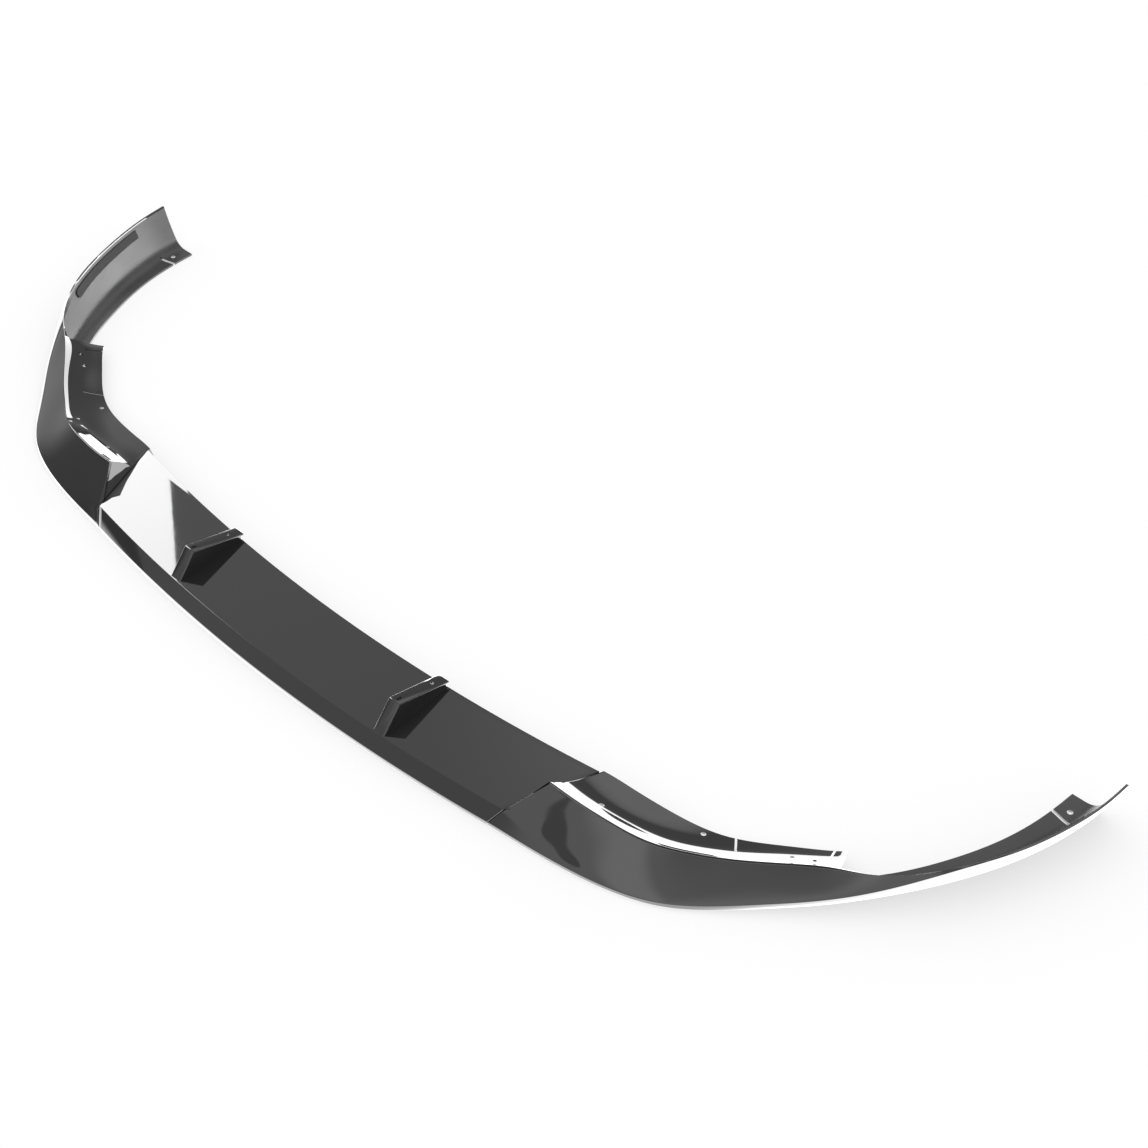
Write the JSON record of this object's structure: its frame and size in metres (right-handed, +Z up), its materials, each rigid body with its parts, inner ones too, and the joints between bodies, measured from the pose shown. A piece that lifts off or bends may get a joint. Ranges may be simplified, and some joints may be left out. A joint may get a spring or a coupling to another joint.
{
  "type": "front splitter lip",
  "caption": "Gloss-black front splitter lip for a car bumper: a curved centre blade with raised fins, and corner mouldings with a crested ledge, a swept tail wall and rear fixing tabs.",
  "frame": {"origin": "centre of the bounding box, on the floor that the lip stands on", "axes": "+X across the car towards its left side, -Y towards the front of the car, +Z up"},
  "size_m": [1.78, 0.5286, 0.065],
  "materials": {
    "gloss_black": "high gloss",
    "grip_rubber": "matte, hatched",
    "steel": "zinc plated"
  },
  "bodies": {
    "root": {"centre_blade": "gloss_black", "left_corner": "gloss_black", "right_corner": "gloss_black", "left_grip_strip": "grip_rubber", "right_grip_strip": "grip_rubber", "left_seam_bolts": "steel", "right_seam_bolts": "steel", "left_seam_nuts": "steel", "right_seam_nuts": "steel"}
  },
  "joints": []
}
